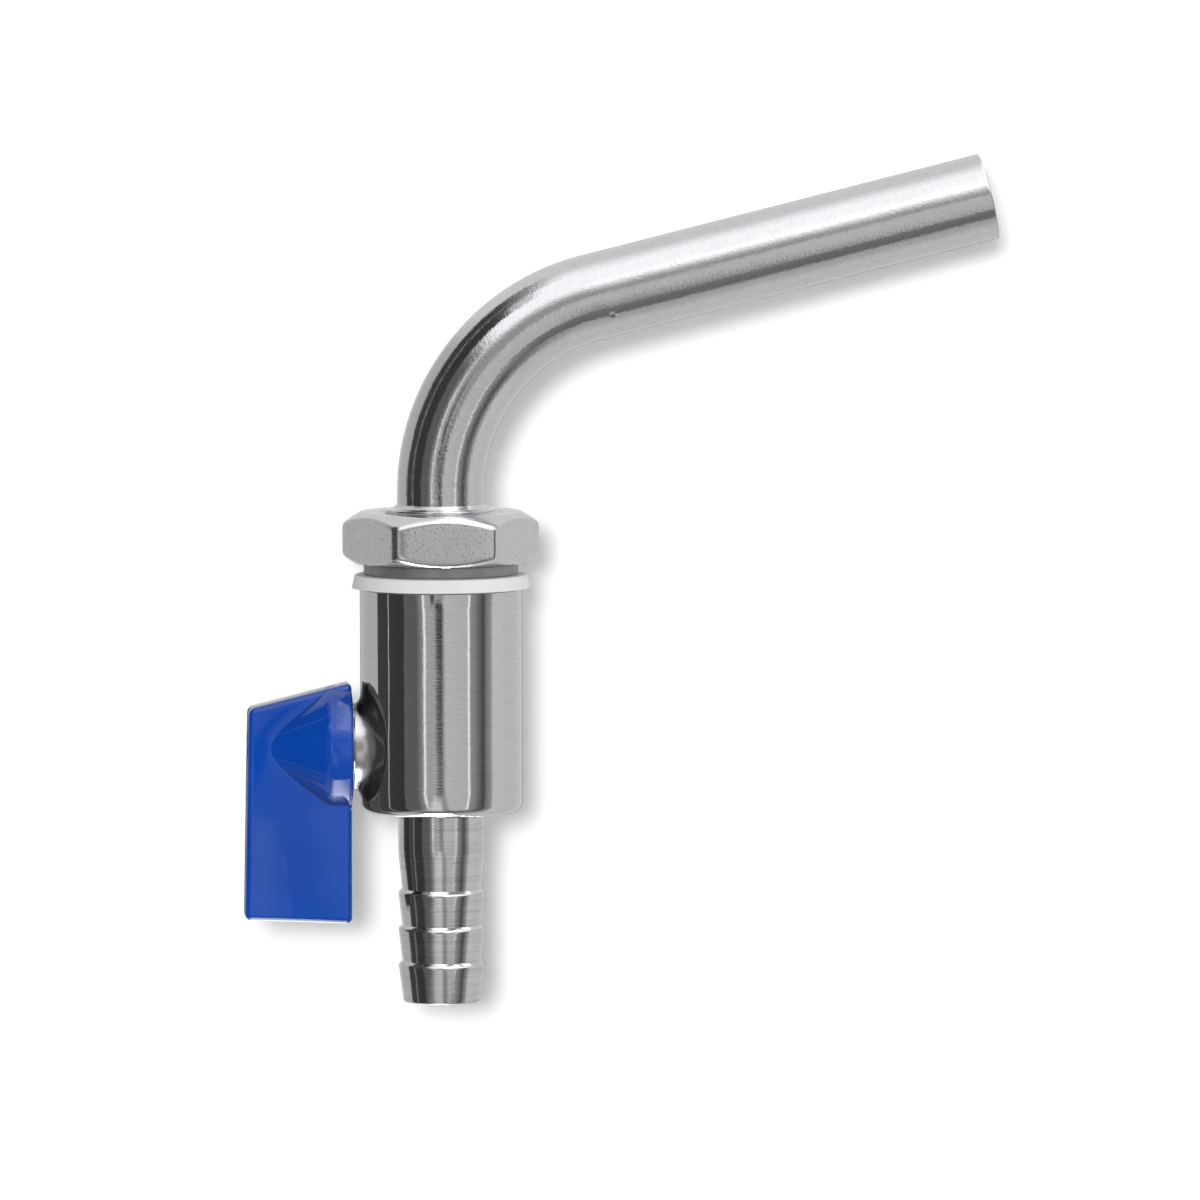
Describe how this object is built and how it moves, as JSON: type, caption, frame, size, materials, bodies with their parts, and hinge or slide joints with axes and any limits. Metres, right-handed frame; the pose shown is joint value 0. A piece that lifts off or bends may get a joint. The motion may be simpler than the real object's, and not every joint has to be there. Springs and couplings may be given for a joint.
{
  "type": "sample tap",
  "caption": "Ball valve sample tap: threaded tank shank with lock nut and gasket, bent sampling tube, quarter-turn wing handle and barbed hose tail.",
  "frame": {"origin": "on the valve's axis, in the face of the body that the gasket seats on, where the tank wall is clamped", "axes": "+Z along the valve's axis from the hose tail to the bent tube, +X the way the bent tube points, the handle stands out along -X"},
  "size_m": [0.1046, 0.0246, 0.1167],
  "materials": {
    "body_steel": "polished",
    "tube_steel": "polished",
    "braze": "satin",
    "gasket": "matte",
    "washer_steel": "matte",
    "nut_steel": "satin",
    "tail_steel": "brushed",
    "ptfe": "matte",
    "ball_steel": "mirror polished",
    "stem_steel": "turned",
    "oring_rubber": "matte",
    "blue_plastic": "gloss",
    "screw_steel": "satin"
  },
  "bodies": {
    "valve": {"valve_body": "body_steel", "spout_tube": "tube_steel", "braze_ring": "braze", "shoulder_gasket": "gasket", "hose_tail": "tail_steel", "tail_seal": "ptfe", "upper_seat": "ptfe", "lower_seat": "ptfe", "thrust_washer": "ptfe"},
    "handle": {"handle": "blue_plastic", "screw_washer": "screw_steel", "handle_screw": "screw_steel", "valve_stem": "stem_steel", "ball": "ball_steel", "inner_oring": "oring_rubber", "outer_oring": "oring_rubber"},
    "washer": {"flat_washer": "washer_steel"},
    "nut": {"lock_nut": "nut_steel"}
  },
  "joints": [
    {"name": "handle_turn", "type": "hinge", "parent": "valve", "child": "handle", "pos_m": [-0.0109, 0, -0.0219], "axis": [1, 0, 0], "range_deg": [0, 90]},
    {"name": "nut_travel", "type": "slide", "parent": "valve", "child": "washer", "axis": [0, 0, 1], "range_m": [0, 0.005]},
    {"name": "nut_spin", "type": "hinge", "parent": "washer", "child": "nut", "pos_m": [0, 0, 0.007], "axis": [0, 0, 1], "range_deg": [0, 1346]}
  ],
  "couplings": [
    {"joint": "nut_travel", "follows": "nut_spin", "m_per_rad": 0.00021279}
  ]
}
